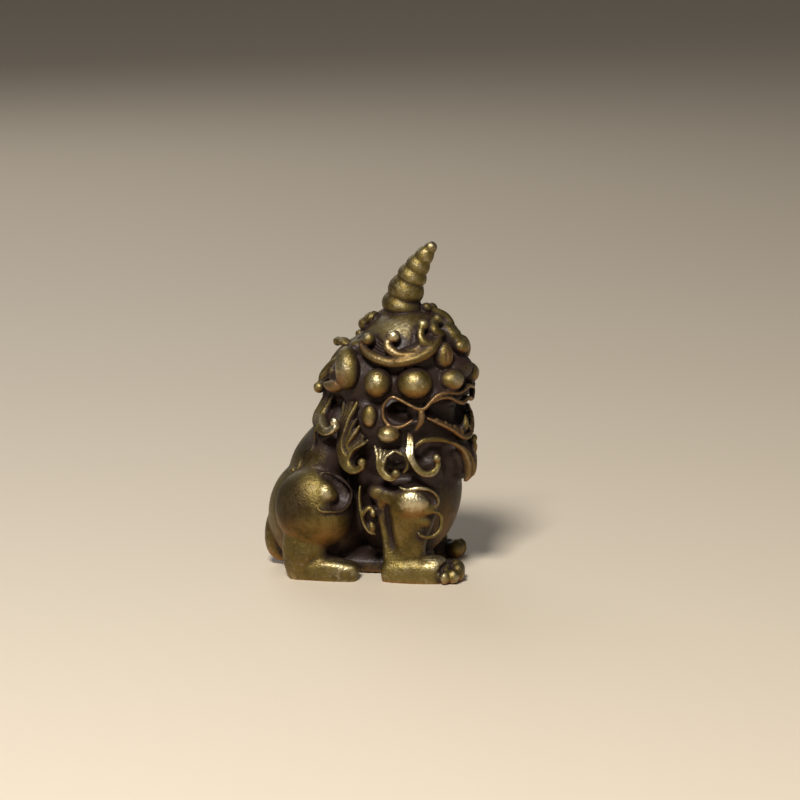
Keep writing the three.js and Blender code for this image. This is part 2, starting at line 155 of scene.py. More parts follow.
def rim_along(path, out, thick, proud, place=None):
    """Thin raised rim along a path of points. Half its width is thick, and half its depth proud times that."""
    bar(carving, [[*spot, thick, thick * proud] for spot in path], out, ends=0.3, around=16,
        rows=20 * len(path), place=place)


for side in SIDES:
    x, y = STAGGER * -side, side * LEG_OUT
    outward = (0, side, 0)
    bar(masses, [[4.8 + x, y * 0.98, 12.9, 3.5, 2.4], [4.8 + x, y, 10.8, 4.1, 2.9], [4.6 + x, y, 8, 3.6, 2.3],
                 [4.4 + x, y, 4.8, 3, 2], [4.4 + x, y, -4, 3.3, 2.1]], outward, ends=0.3, swell=squarish)
    egg(masses, [5.4 + x, side * 7.5, 10.4], [3, 2.4, 2.3])  # shoulder
    scoop([[0.5, side * 7.3, 13.1], [3, side * 7.6, 13.3], [6, side * 7.4, 13.4], [9, side * 6, 13.2]],
          0.8, 0.8)  # parts the arm from the mane
    egg(masses, [1.4 + x, side * 7.3, 11.3], [1.6, 1.6, 1.3])  # hind end of the shoulder
    bar(masses, [[1.6 + x, y, 0.9, 2.2, 1.6], [6 + x, y, 1.1, 2.3, 1.7], [10.1 + x, y, 0.7, 2.2, 1.9]],
        (0, 0, 1), ends=0.12, swell=squarish)  # paw
    egg(masses, [8 + x, y + side * 0.2, 1.8], [2.2, 1.9, 1.5])  # instep
    toes = [(9.5, 1.9, (0.85, 0.85, 0.9)), (10.6, 1.4, (0.85, 0.85, 0.9)), (11.1, 0.2, (0.9, 0.95, 1.15)),
            (10.6, -1.3, (1.25, 1.15, 1.25))]  # ahead, across, radii
    for ahead, across, radii in toes:
        egg(carving, [ahead + x, y + side * across, radii[2]], radii, around=28, rows=18)
    skin_out = lambda ahead: 2.55 - 0.09 * max(ahead - 5, 0) ** 2  # from the arm's middle out to its side
    upper = [[4, 12.4], [4.9, 12], [6.4, 12.2], [7.6, 11.9], [8.5, 11.1], [8.7, 10.2], [8.2, 9.4]]
    lower = [[6.7, 9.2], [8.2, 9.1], [9, 8.6], [9.1, 7.6], [8.8, 6.6], [7.9, 6], [6.8, 6.2], [6.3, 6.7]]
    for scroll in (upper, lower):
        rim = [[ahead + x, y + side * skin_out(ahead), up] for ahead, up in scroll]
        rim_along(rim, (0.6, side, 0), 0.3, 1.1)
    cut([[6.4 + x, y + side * 2.5, 11.4], [7.6 + x, y + side * 2, 11.1], [8 + x, y + side * 1.8, 10.4],
         [7.6 + x, y + side * 2, 9.8]], 0.45, 0.6)
    cut([[6.9 + x, y + side * 2.2, 8.5], [8.2 + x, y + side * 1.7, 8.3], [8.4 + x, y + side * 1.7, 7.4],
         [7.8 + x, y + side * 2, 6.8], [7 + x, y + side * 2.2, 7]], 0.4, 0.55)
    cut([[2.5 + x, y + side * 2.4, 10.3], [2.2 + x, y + side * 2.2, 9.4], [2.3 + x, y + side * 2, 8.2],
         [2.5 + x, y + side * 1.9, 6.2], [3.3 + x, y + side * 2, 3.7]], 0.75, 1.2)  # behind the shin
    cut([[ahead + x, y + side * 2.1, up] for ahead, up in ((6.6, 5.6), (5.6, 4.6), (5.2, 3.8))], 0.16, 0.2)
    cut([[9 + x, y + side * 2.3, -0.4], [9.1 + x, y + side * 2.2, 1.2], [9.5 + x, y + side * 1.6, 2.2],
         [9.9 + x, y + side * 0.4, 2.5], [10 + x, y - side * 1.4, 2.4]], 0.36, 0.6)  # before the toes


# Tufts behind the shoulder. A thin strand hangs in the angle between shoulder and flank and ends in a hook
# with a knob, with a small leaf inside it.
for side in SIDES:
    outward = (0, side, 0)
    hang = [[-0.3, 12.2], [-0.4, 11], [-0.3, 9.6], [-0.1, 8.4], [0.2, 7.4], [0.8, 6.4], [1.7, 6]]
    rim_along([[ahead, side * 7.9, up] for ahead, up in hang], outward, 0.32, 2.6)
    curl = [[0, 7.8], [0.2, 8.8], [0.9, 9.4], [1.6, 9.1]]
    rim_along([[ahead, side * 8, up] for ahead, up in curl], outward, 0.38, 2)
    egg(carving, [1.4, side * 8.3, 8.8], [0.55, 0.65, 0.6], around=20, rows=12)
    leaf = [[0.9, side * 7.6, 7.8, 0.4, 0.8], [1.2, side * 7.8, 7, 0.55, 0.8], [1.5, side * 7.7, 6.3, 0.4, 0.7]]
    bar(carving, leaf, outward, around=16)


# Hind legs. The thigh is a smooth dome. A thin rim scrolls round the muscle at its front, with a deep
# crescent cut inside it. Under the thigh a low, square-ended foot points forward.
THIGH = np.array([[-6.3, 5.9, 8.7], [5, 4, 5.2]])  # middle and radii of the dome, on the left side
FLANK = 7.1  # from the middle plane to the flank


def on_thigh(side, ahead, up):
    """Point of the dome's skin at a place ahead and up, and never inside the flank."""
    (cx, cy, cz), (rx, ry, rz) = THIGH
    inside = max(1 - ((ahead - cx) / rx) ** 2 - ((up - cz) / rz) ** 2, 0)
    return [ahead, side * max(cy + ry * inside**0.5, FLANK), up]


for side in SIDES:
    y = side * LEG_OUT
    outward = (0, side, 0)
    egg(masses, THIGH[0] * [1, side, 1], THIGH[1])
    egg(masses, [-4.7, side * 7.4, 11], [1.8, 2.1, 1.8])  # muscle inside the scroll
    scroll = [[-5.4, 13.5], [-4.3, 13.4], [-2.9, 12.7], [-1.9, 11.8], [-1.5, 10.8], [-1.8, 9.7], [-2.6, 9.1],
              [-3.8, 9.1], [-5, 9.2], [-5.5, 9.7]]
    rim_along([on_thigh(side, *spot) for spot in scroll], outward, 0.25, 2)
    crescent = [[-4.6, 13], [-3.3, 12.3], [-2.5, 11.3], [-2.4, 10.4], [-3, 9.8], [-4, 9.8]]
    cut([on_thigh(side, *spot) for spot in crescent], 0.6, 1)
    bar(masses, [[-6.8, y * 0.95, 7, 3.8, 2.5], [-7.4, y, 4, 2.9, 2.2], [-7.3, y, -1.8, 2.9, 2.2]],
        outward, ends=0.35)  # shank
    foot = [[-9.2, y, 0.9, 2, 1.6], [-5, y + side * 0.2, 1, 2, 1.7], [-3, y + side * 0.4, 0.8, 1.9, 1.65],
            [-0.7, y + side * 0.5, 0.6, 1.75, 1.55]]
    bar(masses, foot, (0, 0, 1), ends=0.07, swell=squarish)
    cut([[-6.8, y + side * 2.3, 2], [-5.4, y + side * 2.2, 3.1], [-3.6, y + side * 1.6, 3.6]], 0.4, 0.5)
    for ahead in (-2.6, -1.6):
        cut([[ahead, y + side * 2.6, -0.2], [ahead + 0.1, y + side * 2.3, 1.4]], 0.14, 0.16)  # toes


# Tail and back. The tail hangs behind the rump in a plain flat loop down to the ground. Low tufts run down
# both sides of the spine, each a small winding lock with a bead.
def wind(root, eye, out, hook, sweep, fat):
    """Line of a lock that winds in to its eye, in the plane facing out: the distance from the eye falls
    from the root's to the hook's and then to nothing, while the line turns through sweep degrees."""
    up = np.asarray(out, float) / np.linalg.norm(out)
    eye = np.asarray(eye, float)
    first = np.asarray(root, float) - eye
    lift = first @ up
    first = first - up * lift
    far = np.linalg.norm(first)
    first /= far
    second = np.cross(up, first)
    t = np.linspace(0, 0.95, 14)[:, None]
    away = far * (1 - t) ** 3 + 4 * hook * t * (1 - t)
    angle = np.radians(sweep) * t**1.7
    line = eye + first * away * np.cos(angle) + second * away * np.sin(angle) + up * lift * (1 - t) ** 2
    half = fat * (1 - 0.55 * t)
    return np.hstack([line, half, half * 1.1])


def strands(count, depth):
    """Grooves along a lock: the girth falls by a rounded ripple round the lock, fading towards its tip."""
    return lambda t, angle: 1 - depth * (1 - t**4) * (0.5 + 0.5 * np.cos(count * angle)) ** 0.7


bar(masses, [[-10.2, 0, 8.6, 1.4, 1.3], [-12, 0, 6.4, 1.6, 1.1], [-12.45, 0, 4.2, 1.8, 1.1],
             [-12.2, 0, 2, 1.8, 1.15], [-10.8, 0, 0.5, 1.5, 1.3]], (-1, 0, 0.2), ends=0.35)
for side in SIDES:
    for row in range(3):
        eye = np.array([-5.7 - 1.7 * row, side * 4.6, 17.6 - 2.3 * row])
        root = [eye[0] + 1.6, side * 3.4, eye[2] + 2.2]
        out = [-0.85, side * 0.5, 0.45]
        bar(carving, wind(root, eye, out, 0.8, side * 230, 0.8), out, ends=0.35, around=72, rows=70,
            swell=strands(7, 0.24))
        egg(carving, eye, [0.5] * 3, around=24, rows=14)  # bead at the eye
    tuck = 0.6 if side > 0 else 0  # the neck is narrower on the left, where the head turns away
    strand = [[-5.8, 5.6, 19.4], [-6.2, 5.9, 18.4], [-6.2, 6, 17]]
    rim_along([[ahead, side * (away - tuck), up] for ahead, away, up in strand], (-0.4, side, 0), 0.22, 1.5)


# Head. It looks towards the beast's right. Its own frame has +X ahead and its upright axis through the
# middle of the skull; a bearing is 0 ahead and 90 at the right cheek.
HEAD_CENTRE = np.array([4.6, 0, 25])
HEAD_TURN = 16  # degrees
SKULL = 6.5  # radius of the bare skull
SKULL_LIFT = 1.6  # from the head's middle up to the middle of the skull
FACE = 8.1  # from the head's axis to the rims of the lips


def on_body(points):
    """Turns the head's points about its upright axis and carries them to the top of the neck."""
    turn = -np.radians(HEAD_TURN)
    x, y, z = np.asarray(points, float).T
    turned = [x * np.cos(turn) - y * np.sin(turn), x * np.sin(turn) + y * np.cos(turn), z]
    return np.stack(turned, -1) + HEAD_CENTRE


def radial(points):
    """Direction away from the head's upright axis."""
    return points * [1, 1, 0]


def on_head(bearing, away, height):
    """Point of the head from its bearing in degrees, its distance from the axis and its height."""
    return [away * np.cos(np.radians(bearing)), -away * np.sin(np.radians(bearing)), height]


def on_skull(bearing, height, proud):
    """The same, with the distance measured as a height above the skull's skin."""
    away = np.sqrt((SKULL + proud) ** 2 - (height - SKULL_LIFT) ** 2)
    return on_head(bearing, away, height)


egg(masses, [0, 0, SKULL_LIFT], [SKULL, SKULL, SKULL], place=on_body)
egg(masses, [0.9, 0, -0.4], [6.5, 6.9, 4.4], place=on_body)  # cheeks
egg(masses, [0.7, 0, -5.2], [5.9, 5.8, 3.4], place=on_body)  # lower jaw
egg(masses, [-3, 0, -1.4], [7.2, 7.3, 6.2], place=on_body)  # nape
egg(masses, [-1.4, 0, -5.6], [7.9, 8.2, 6.3], place=on_body)  # neck under the mane
egg(masses, [0.6, 0, -10.2], [6.8, 7.8, 4.9], place=on_body)  # collar above the chest
bar(masses, [[3.4, 0, 6.6, 1.3, 1], [6, 0, 5.2, 1.3, 1], [7, 0, 3.2, 1.3, 1]], (1, 0, 0.6),
    place=on_body)  # bridge
egg(carving, [7.2, 0, 3.9], [1.1, 1.4, 1], place=on_body)  # nose
egg(masses, [6.3, 0, 1.1], [2.2, 2.9, 1.7], place=on_body)  # muzzle


# Mane. Its skirt is a row of hooked locks in pairs round the head, modelled one by one in the wax. Each is a
# fan of strands that narrows into a hook and ends in a bead.
LEFT_TUCK = 0.5  # how much closer the left side's hair lies
THINNEST = 0.22  # half the width of the thinnest strand
coppery = []  # lines of the head whose brass has a coppery tone


def beside(side, bearing, away, height):
    """Point of the head on one side, with the left side tucked in."""
    return on_head(-side * bearing, away - (LEFT_TUCK if side > 0 else 0), height)


def on_side(side, knots):
    """Points of the head on one side, from bearing, distance and height. What follows in a knot is kept."""
    return [[*on_head(-side * knot[0], *knot[1:3]), *knot[3:]] for knot in knots]


def bead_at(spot, radii):
    """Bead that stands a little proud of the end of a lock."""
    egg(carving, np.array(spot) * [1.02, 1.02, 1], radii, around=28, rows=18, place=on_body)


def tress(knots, bead, grooves=10):
    """Grooved lock on both sides of the head, with a bead at its end. Knots are bearing, distance, height,
    half width and half depth."""
    for side in SIDES:
        line = [[*beside(side, *knot[:3]), *knot[3:]] for knot in knots]
        bar(carving, line, radial, ends=0.35, around=8 * grooves, rows=90, swell=strands(grooves, 0.22),
            place=on_body)
        bead_at(beside(side, *knots[-1][:3]), [bead] * 3)


def fan(outer, inner, count, bead, squat=0.8, depth=0.65, backed=False):
    """Lock of count strands that share the room between two measured edges, on both sides of the head. The
    strands start thin at the root, run together in the hook, and may be backed by one sheet. Knots are
    bearing, distance, height."""
    even = np.linspace(0, 1, 30)
    for side in SIDES:
        edges = [course([beside(side, *spot) for spot in edge], even)[0] for edge in (outer, inner)]
        root = np.clip(0.9 + 2 * even, 0, 1)
        room = np.linalg.norm(edges[0] - edges[1], axis=1) * root
        rise = depth * np.clip(0.3 + 2.5 * even, 0, 1)
        if backed:
            sheet = np.column_stack([(edges[0] + edges[1]) / 2, 0.5 * room, 0.75 * rise])
            bar(carving, sheet, radial, ends=0.3, around=28, rows=110, place=on_body)
        half = np.maximum(0.56 * room / count, THINNEST)
        for share in (np.arange(count) + 0.5) / count:
            line = edges[0] * (1 - share) + edges[1] * share
            bar(carving, np.column_stack([line, half, rise]), radial, ends=0.3, around=20, rows=110,
                place=on_body)
        if bead:
            bead_at((edges[0][-1] + edges[1][-1]) / 2, [bead * squat, bead * squat, bead])


def wire(knots, thick, proud, mirrored=True):
    """Thin rim along bearing, distance, height knots, on both sides of the head or as given."""
    for side in SIDES if mirrored else (-1,):
        rim_along([beside(side, *spot) for spot in knots], radial, thick, proud, on_body)


fan([[160, 9.5, -1.2], [161, 10.4, -3], [160, 11, -4.6], [156, 11.4, -5.6], [143, 11.6, -6.2], [131, 11.8, -6.6],
     [124, 11.8, -6.7], [119, 11.6, -6.3], [117, 11.3, -5.6], [118, 11.1, -5]],
    [[142, 8.9, -1.4], [144, 9.6, -3], [145, 10.1, -4.2], [143, 10.6, -5], [135, 11.1, -5.5], [128, 11.4, -5.8],
     [125, 11.4, -5.9], [123, 11.3, -5.7], [122, 11.1, -5.3], [122, 11, -5]], 4, 0.58, 0.9)  # behind the ear
fan([[131, 9.1, -2.8], [127, 9.2, -4.9], [127, 9.3, -6.4], [126, 9.5, -7.6], [125, 9.8, -8.8], [120, 10, -10]],
    [[110, 8.7, -2.4], [113, 9, -3.9], [116, 9.3, -5.8], [118, 9.6, -7.3], [117, 9.8, -8.4],
     [114, 9.9, -9.5]], 4, 0, depth=0.95, backed=True)  # below the ear: high strands, loose ones and the lock
wire([[110, 9, -4.5], [113, 9.2, -5.5], [115, 9.4, -6.5], [117, 9.6, -7.5], [116, 9.8, -8.4]], 0.3, 2)
wire([[107, 9, -5.3], [110, 9.2, -6.2], [113, 9.4, -7], [116, 9.6, -7.9], [115, 9.8, -8.6]], 0.3, 2)
fan([[128, 9.2, -4.6], [127, 9.2, -5.6], [127, 9.3, -6.6], [126, 9.5, -7.6], [125, 9.8, -8.8], [121, 10, -10.1],
     [115, 10.1, -10.9], [109, 10.1, -11.2], [104, 10, -11], [99, 10, -10.3], [99, 9.9, -9.7]],
    [[98, 8.8, -7.2], [102, 8.9, -7.7], [106, 9.1, -8.1], [110, 9.3, -8.6], [112, 9.5, -9.2], [113, 9.6, -9.7],
     [112, 9.7, -10.2], [109, 9.8, -10.5], [106, 9.8, -10.5], [104, 9.8, -10.2], [103, 9.8, -9.8]], 7, 0.57, 0.95,
    backed=True)
fan([[98, 8.7, -7.5], [95, 8.9, -8.3], [92, 9.1, -9], [91, 9.3, -9.8], [89, 9.5, -10.6], [86, 9.6, -11.2],
     [82, 9.7, -11.7], [77, 9.7, -11.7], [74, 9.7, -11.3], [73, 9.7, -10.7]],
    [[68, 8.9, -9], [72, 8.9, -8.4], [76, 9, -8.1], [79, 9.1, -8.3], [83, 9.2, -8.8], [84, 9.3, -9.4],
     [85, 9.4, -10.1], [83, 9.5, -10.7], [81, 9.6, -11.1], [78, 9.6, -11]], 6, 0.6, 0.95)  # below the cheek
wire([[70, 8.8, -8.6], [68, 8.9, -9.1], [67, 9, -9.8], [68, 9.1, -10.4], [71, 9.2, -10.9]], 0.26, 1.5)
fan([[67, 7.9, -5.9], [68, 8.3, -6.6], [68, 8.6, -7.3], [69, 8.8, -8.1], [68, 9.1, -8.8], [65, 9.3, -9.6],
     [62, 9.4, -10.4], [58, 9.5, -11], [53, 9.5, -11.3], [48, 9.5, -11.2], [44, 9.5, -10.5], [42, 9.4, -9.7],
     [43, 9.3, -9]],
    [[63, 7.9, -6.1], [62, 8.3, -6.7], [62, 8.6, -7.3], [62, 8.8, -8.1], [62, 9, -8.9], [60, 9.1, -9.6],
     [58, 9.2, -10.1], [55, 9.3, -10.6], [51, 9.3, -10.7], [49, 9.3, -10.5], [46, 9.3, -10.1], [46, 9.3, -9.7],
     [47, 9.3, -9.2]], 3, 0.55, 0.95)  # beside the chin, with an arc that runs from it to the beard
wire([[65, 8.6, -8.5], [61, 8.2, -7.8], [54, 7.9, -7.2], [46, 7.7, -7.1], [37, 7.7, -7.2], [29, 7.8, -7.5],
      [22, 7.9, -8]], 0.34, 1)
fan([[24, 7.8, -7.5], [17, 8.2, -8.1], [10, 8.5, -8.9], [6, 8.8, -9.8], [3, 9, -10.8], [4, 9, -11.9],
     [11, 8.7, -12.9]],
    [[27, 7.8, -7.7], [20, 8, -8.3], [15, 8.3, -9.1], [13, 8.6, -9.9], [12, 8.8, -10.9], [12, 8.8, -12],
     [13, 8.7, -12.9]], 2, 0)  # leaf at the side of the beard
fan([[140, 7.2, 3.6], [148, 7.7, 4.3], [155, 8.2, 4.5], [161, 8.6, 4.2]],
    [[141, 7.2, 2.8], [149, 7.7, 3.4], [155, 8.1, 3.5], [159, 8.5, 3.5]], 2, 0.6, 1)  # above the ear
leaf = [[20, 7.9, -7.7], [12, 8.5, -9], [8, 8.9, -10.6], [8, 8.9, -12], [12, 8.8, -12.9]]
for side in SIDES:
    coppery.append([beside(side, *spot) for spot in leaf])
fan([[176, 3.2, 6.8], [177, 6.2, 4.4], [177, 8.9, 2.2], [177, 10.3, -0.4], [176, 10.4, -3], [175, 10.6, -5.6],
     [172, 11, -7.4], [167, 11.4, -8], [163, 11.4, -7.6], [163, 11.2, -7]],
    [[158, 3, 6.8], [158, 5.2, 4.8], [158, 7.1, 2.9], [159, 9, 0.4], [160, 10, -2.6], [163, 10.3, -4.8],
     [165, 10.8, -6.2], [165, 11, -6.8], [165, 11, -6.9], [165, 11, -6.8]],
    5, 0.6, backed=True)  # down the back of the head
tress([[164, 9, -3.4, 1, 0.8], [168, 9.6, -5.6, 0.8, 0.8], [166, 9.8, -7.6, 0.6, 0.7],
       [159, 9.8, -8.4, 0.5, 0.6], [156, 9.8, -7.3, 0.45, 0.5]], 0.7)
tress([[148, 7.6, 2.2, 1, 1], [153, 9, 1, 1, 1], [156, 10.3, -0.6, 0.8, 0.9], [154, 10.8, -1.8, 0.6, 0.7]],
      0.75)
tress([[168, 3.4, 7, 0.9, 0.8], [160, 4.6, 6.8, 0.9, 0.8], [164, 5.2, 6, 0.7, 0.7]], 0.9, 8)
bar(masses, [[5.6, 0, -6.8, 2.6, 0.9], [6.7, 0, -9.2, 3.1, 1.6], [7.2, 0, -11.3, 2.8, 1.6],
             [6.5, 0, -13.4, 1.6, 1.2]], (1, 0, 0), ends=0.4, place=on_body)  # beard
hollows = [  # inside and beside the locks, and below the brow: half width, depth, line
    (1.2, 1.1, [[58, 7.4, -8], [55, 7.4, -8.5], [51, 7.6, -9.4], [50, 7.7, -10.3]]),
    (1.4, 1.1, [[32, 7, -8.6], [25, 7.3, -9.4], [19, 7.5, -10.8], [14, 7.2, -12.4]]),
    (0.8, 0.8, [[82, 7.8, -9.9], [77, 7.8, -9.7], [74, 7.9, -10.2]]),
    (0.9, 1, [[140, 9, -2.4], [138, 9, -3.8], [132, 9.4, -5.2], [129, 9.8, -6.6], [128, 10.2, -8.6]]),
    (0.7, 0.8, [[118, 8.6, -9], [113, 8.4, -9.6], [110, 8.2, -9.9]]),
    (0.7, 0.7, [[112, 8, -1.6], [108, 8, -2.4], [100, 7.8, -2.6], [93, 7.7, -2], [90, 7.7, -1]]),
    (0.8, 0.7, [[95, 8.1, -7.4], [88, 8.1, -7.9], [80, 8, -7.3], [73, 7.8, -6.6]]),
    (0.8, 0.5, [[112, 7, 2], [95, 6.9, 1.6], [78, 6.9, 1.4], [60, 7, 1.5], [42, 7, 1.9], [32, 7, 1.6]])]
for side in SIDES:
    egg(masses, on_head(-side * 146, 8.2, -0.2), [1.8, 1.8, 2], place=on_body)  # hair behind the ear
    egg(masses, on_head(-side * 138, 6.4, 3.4), [1.4, 1.4, 1.2], place=on_body)
    for width, depth, line in hollows:
        scoop(on_body(on_side(side, line)), width, depth)
for side in (-1, 0, 1):
    cut(on_body([[8.1, side * 0.8, -8.2], [8.8, side * 0.8, -10], [8.8, side * 0.6, -12.6]]), 0.2, 0.3)


# Mouth. It is pressed deep into the wax at the cheeks and shallow in front, where the tongue fills it.
# Thin lips, a separate round hole in each cheek, fangs and a row of lower teeth stand round it.
lips = [[0, -2.6, -7.5], [12, -2.8, -6.9], [24, -2.3, -5.9], [36, -2, -5], [48, -2.6, -4.5],
        [60, -2.9, -4.7], [72, -2.2, -5.3], [83, -2.2, -5], [88, -3, -4.2]]  # bearing, upper lip, lower lip
lips = [[-bearing, upper, lower] for bearing, upper, lower in lips[:0:-1]] + lips
press = []  # what is pressed into the wax
for row, shift, half in ((1, 0.7, 1), (2, -0.3, 0.6)):  # the flesh of the two lips
    flesh = [[*on_head(lip[0], FACE - 1.7, lip[row] + shift), half, 1.5] for lip in lips[1:-1]]
    bar(masses, flesh, radial, ends=0.4, place=on_body)
hollow = []
for bearing, upper, lower in lips:
    inner = FACE - 2 - 2.4 * np.sin(np.radians(bearing)) ** 2
    outer = FACE + 1
    hollow.append([*on_head(bearing, (inner + outer) / 2, (upper + lower) / 2), (upper - lower) / 2 + 0.1,
                   (outer - inner) / 2])
bar(press, hollow, radial, ends=0.25, around=32, rows=120, place=on_body)
upper_lip = [[88, -2.6], [85, -2], [80, -1.6], [74, -1.9], [65, -2.6], [57, -3.1], [52, -3], [47, -2.3], [41, -1.6],
             [31, -1.3], [19, -1.6], [9, -1.4]]
fold = [[46, -2.5], [38, -2], [28, -2], [19, -2.6], [10, -3]]  # the inner edge of the upper lip
lower_lip = [[50, -4.3], [42, -4.8], [32, -5.5], [22, -6.3], [11, -7.3]]
cheek_hole = [[86, -2], [89, -3], [88.5, -4.2], [84, -5.1], [76, -5.4], [68, -5], [62, -4.4]]
for line in (upper_lip, fold, lower_lip, cheek_hole):
    coppery += [on_side(side, [[bearing, FACE, height] for bearing, height in line]) for side in SIDES]
for line, middle, inset, thick, proud in ((upper_lip, -1.1, 0, 0.27, 1.5), (fold, -2.6, 0, 0.27, 1.5),
                                          (lower_lip, -7.6, 0.3, 0.4, 1.6)):
    across = line + [[0, middle]] + [[-bearing, height] for bearing, height in line[::-1]]
    wire([[bearing, FACE - inset, height] for bearing, height in across], thick, proud, mirrored=False)
wire([[bearing, FACE - 0.1, height] for bearing, height in cheek_hole], 0.26, 1.5)
for side in SIDES:
    under_lip = [[bearing, FACE - 0.4, height - 0.8] for bearing, height in lower_lip]
    cut(on_body(on_side(side, under_lip)), 0.3, 0.45)
    fang = on_side(side, [[56, FACE - 0.1, -2.8, 0.55, 0.55], [55, FACE + 0.1, -4, 0.48, 0.48],
                          [57, FACE, -5.1, 0.36, 0.36], [62, FACE - 0.1, -6.1, 0.2, 0.2]])
    coppery.append([spot[:3] for spot in fang])
    bar(carving, fang, radial, around=20, place=on_body)
    cheek_wall = on_side(side, [[58, FACE - 2.4, height, 1, 1.4] for height in (-1.8, -3.6, -5.6)])
    bar(carving, cheek_wall, radial, around=20, place=on_body)  # parts the cheek hole from the mouth
    teeth = [(10, 0.38), (15, 0.28), (20, 0.4), (26, 0.3), (31, 0.38), (36, 0.28), (40, 0.33)]
    for bearing, radius in teeth:
        egg(carving, on_head(-side * bearing, FACE - 0.2, -7.35 + bearing * 0.064), [radius, radius, radius * 1.3],
            around=16, rows=10, place=on_body)
tongue = [[4, 0, -6.4, 2, 1], [6, 0, -6.7, 1.6, 0.9], [7.3, 0, -6.7, 1, 0.6], [7.8, 0, -5.7, 0.55, 0.5],
          [7.7, 0, -4.6, 0.45, 0.4]]
bar(carving, tongue, (0, 0, 1), place=on_body)


# Cheeks, brows, eyes and ears. Smooth pads of flesh run along the cheek. Each brow is a crescent ledge from
# which flames hook back and up to a knob, and the left one is cast a little higher.
BROW_LIFT = 1  # of the left brow's flames
PADS = [[21, 0, (1.75, 1.75, 1.45)], [60, -0.1, (2.2, 2.2, 2.05)], [97, -0.2, (1.75, 1.75, 1.9)],
        [101, -4.2, (0.98, 0.98, 1.45)], [84, -6.3, (1.45, 1.45, 1.15)]]  # bearing, height, radii
for side in SIDES:
    for bearing, height, radii in PADS:
        away = FACE + (0.35 if radii[0] > 1.5 else 0.9) - 0.7 * radii[0]
        egg(carving, on_head(-side * bearing, away, height), radii, place=on_body)
    lift = BROW_LIFT if side > 0 else 0
    ledge = [[114, 5, 0.6], [121, 4.7, 0.6], [121, 4, 0.55], [113, 3.4, 0.55], [101, 2.9, 0.58], [90, 2.6, 0.6],
             [79, 2.5, 0.62], [68, 2.7, 0.68], [57, 3.1, 0.74], [44, 3.9, 0.8], [34, 4.8, 0.8], [24, 5.6, 0.6]]
    bed = [[90, 3.1, 0.5], [78, 3.1, 0.75], [66, 3.4, 1], [55, 3.9, 1.05], [44, 4.5, 1.1], [33, 5.2, 1],
           [22, 6, 0.8]]  # fills the crescent's front half
    flames = [[[44, 4.6, 0.4], [53, 3.9, 0.5], [63, 3.5, 0.5], [73, 3.4, 0.5], [82, 3.8, 0.55], [88, 4.4, 0.6],
               [88, 5.1, 0.6], [83, 5.6, 0.6]],
              [[28, 5.2, 0.5], [36, 4.7, 0.6], [44, 4.6, 0.6], [50, 4.9, 0.6], [53, 5.5, 0.6], [51, 6.2, 0.65],
               [46, 6.8, 0.65]],
              [[16, 5.9, 0.5], [26, 5.7, 0.6], [33, 6.1, 0.65], [29, 6.7, 0.6], [18, 7.2, 0.55]]]
    for row, points in enumerate([ledge, bed] + flames):
        rise = np.linspace(0, 1 if row > 1 else 0, len(points)) * lift
        proud, deep = (0.1, 0.9) if row == 1 else (0.7 - 0.4 * (side > 0), 1.35)
        line = [[*on_skull(-side * bearing, height + up, proud), half * 1.12, half * deep]
                for (bearing, height, half), up in zip(points, rise)]
        bar(carving, line, radial, ends=0.35, around=32, rows=110, place=on_body)
        if row < 3:
            coppery.append([spot[:3] for spot in line[1:-1]])
    for bearing, height, radius in [[114, 5, 0.82], [83, 5.6 + lift, 0.85], [46, 6.8 + lift, 0.78],
                                    [18, 7.2 + lift, 0.66]]:  # knobs of the crescent and the flames
        egg(carving, on_skull(-side * bearing, height, 0.9 - 0.4 * (side > 0)), [radius] * 3, around=28,
            rows=18, place=on_body)
    behind = [[113, 4], [104, 3.6], [94, 3.4], [88, 3.6]]
    between_flames = [[68, 4.4], [62, 4.7], [58, 5.4], [57, 6.4]]
    ahead = [[79, 4.3], [70, 4.1], [60, 4.4]]
    for row in range(4):  # hair inside the crescent's two hollows
        cut(on_body([on_skull(-side * bearing, height + 0.38 * row, 0) for bearing, height in behind]),
            0.12, 0.25)
        if row == 0:
            cut(on_body([on_skull(-side * bearing, height + lift, 0.6) for bearing, height in between_flames]),
                0.5, 0.7)
        cut(on_body([on_skull(-side * bearing, height + lift + 0.3 * row, 0.4) for bearing, height in ahead]),
            0.1, 0.2)
    egg(carving, on_head(-side * 26, 6.6, 3), [1.3, 1.3, 1.75], place=on_body)  # eye
    coppery.append(on_side(side, [[24, 7.9, height] for height in (4, 3, 2)]))
    for bearing in (17, 23, 29):
        cut(on_body(on_side(side, [[bearing, 7.9, height] for height in (4.2, 3, 1.9)])), 0.12, 0.26)
    ear = [[139, 7.8, 3.6, 1, 0.9], [132, 8.4, 2.8, 1.45, 1.2], [126, 8.7, 1.5, 1.6, 1.35],
           [124, 8.9, 0, 1.6, 1.3], [125, 9, -1.3, 1.3, 1.1]]
    fold_back = [[124, 9, -0.6, 0.8, 0.8], [131, 9.7, -0.9, 0.9, 0.85], [139, 10.2, -1.1, 0.65, 0.65],
                 [147, 10.7, -1, 0.3, 0.3]]
    for knots in (ear, fold_back):
        bar(carving, on_side(side, knots), on_head(-side * 98, 1, 0), ends=0.35, place=on_body)
    # The fold at the foot of the ear takes the coppery tone, partly its own and partly a painted warm reflection
    # from below.
    coppery.append(on_side(side, [[122, 10, 0.4], [128, 10, -0.6], [138, 10, -1]]))
    egg(carving, on_head(-side * 143, 9.6, 0.6), [0.45] * 3, around=20, rows=12, place=on_body)
    cut(on_body(on_side(side, [[140, 9.6, 1.6], [134, 9.9, 0.6], [131, 10.1, -0.2]])), 0.25, 0.4)


# Horn. It rises from the crown and bends forward, and rounded rings that shrink towards the tip make up
# its length.
HORN_ROOT = np.array([-1.1, 0, 5.6])
HORN_TIP = np.array([3.6, 0, 16.5])
HORN_RADIUS = 3.3
HORN_TAPER = 0.68
HORN_GROOVES = [0, 0.19, 0.36, 0.56, 0.69, 0.81, 0.93, 1]  # shares of its length between the rings

